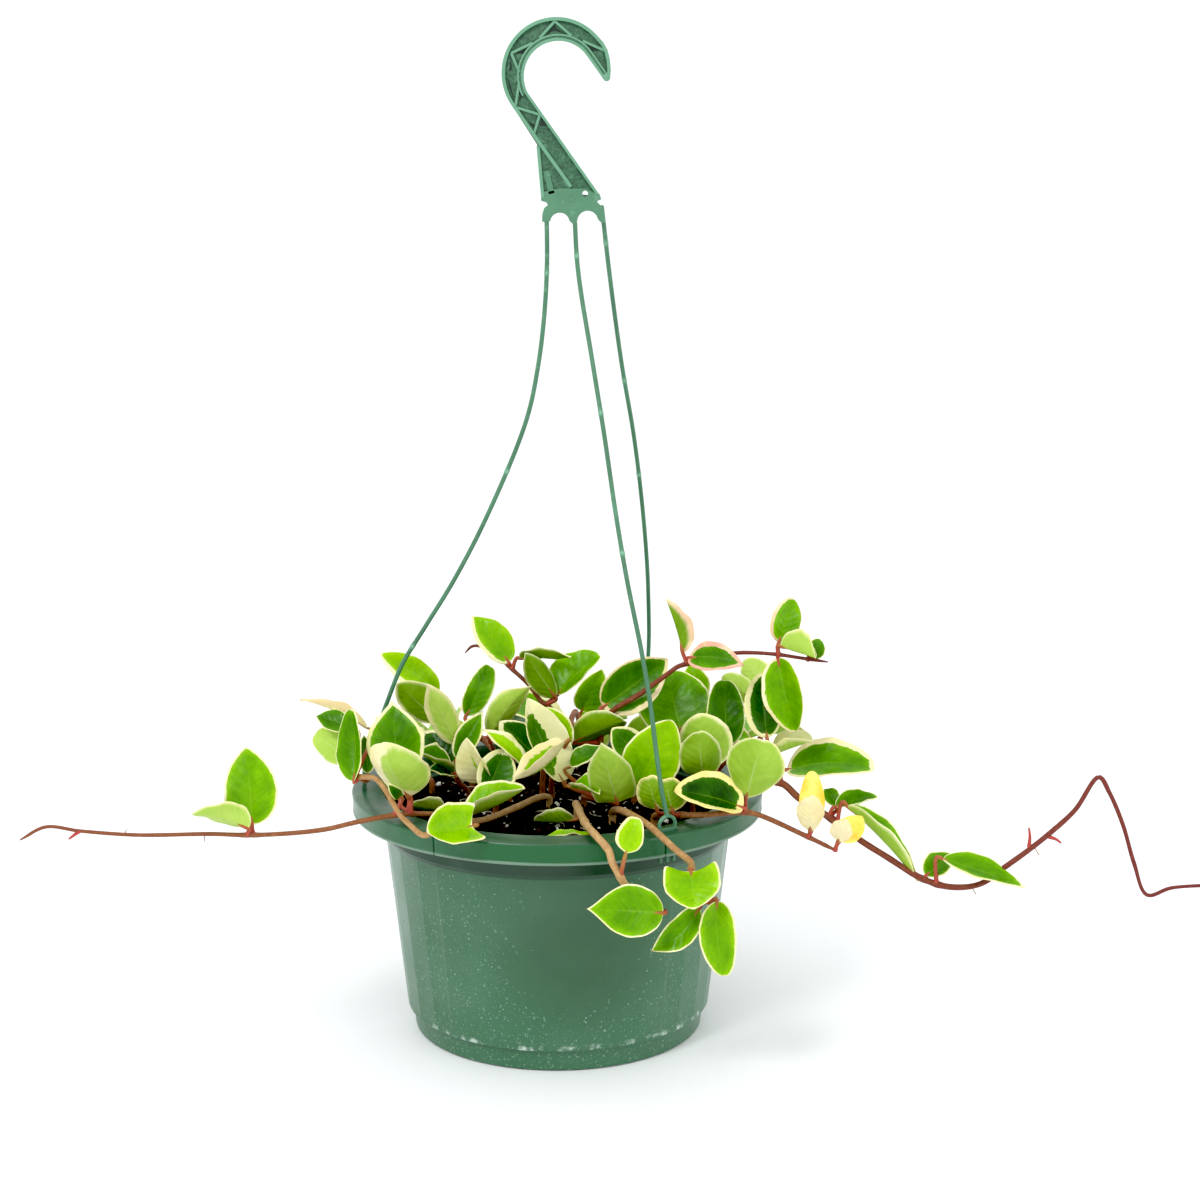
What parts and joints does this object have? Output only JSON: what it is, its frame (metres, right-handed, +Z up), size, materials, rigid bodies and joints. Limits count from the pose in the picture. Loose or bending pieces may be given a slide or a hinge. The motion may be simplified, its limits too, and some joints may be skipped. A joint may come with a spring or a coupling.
{
  "type": "potted tricolor hoya",
  "caption": "Trailing hoya with cream-edged oval leaves in a round fluted plastic basket, with a clip-on hanger of thin strands meeting in a flat hook.",
  "frame": {"origin": "middle of the basket's underside, on the basket's axis", "axes": "+Z up along the basket's axis, +X to the right as seen from the front, +Y away from the viewer"},
  "size_m": [0.5481, 0.2837, 0.4909],
  "materials": {
    "basket_plastic": "satin",
    "hanger_plastic": "satin",
    "potting_mix": "matte",
    "foliage": "waxy"
  },
  "bodies": {
    "root": {"pot": "basket_plastic", "potting_mix": "potting_mix", "hanger": "hanger_plastic", "vine_left_runner": "foliage", "vine_left_loop": "foliage", "vine_back_left": "foliage", "vine_left_mid": "foliage", "vine_top_left": "foliage", "vine_centre_left_a": "foliage", "vine_centre_left_b": "foliage", "vine_centre_left_c": "foliage", "vine_front_hanger_a": "foliage", "vine_front_hanger_b": "foliage", "vine_right_front": "foliage", "vine_right_runner": "foliage", "vine_top_right": "foliage", "vine_centre_right_a": "foliage", "vine_centre_right_b": "foliage", "vine_centre_right_c": "foliage", "vine_centre_right_d": "foliage", "vine_back_a": "foliage", "vine_back_b": "foliage", "vine_back_c": "foliage", "vine_back_d": "foliage", "vine_back_e": "foliage"}
  },
  "joints": []
}
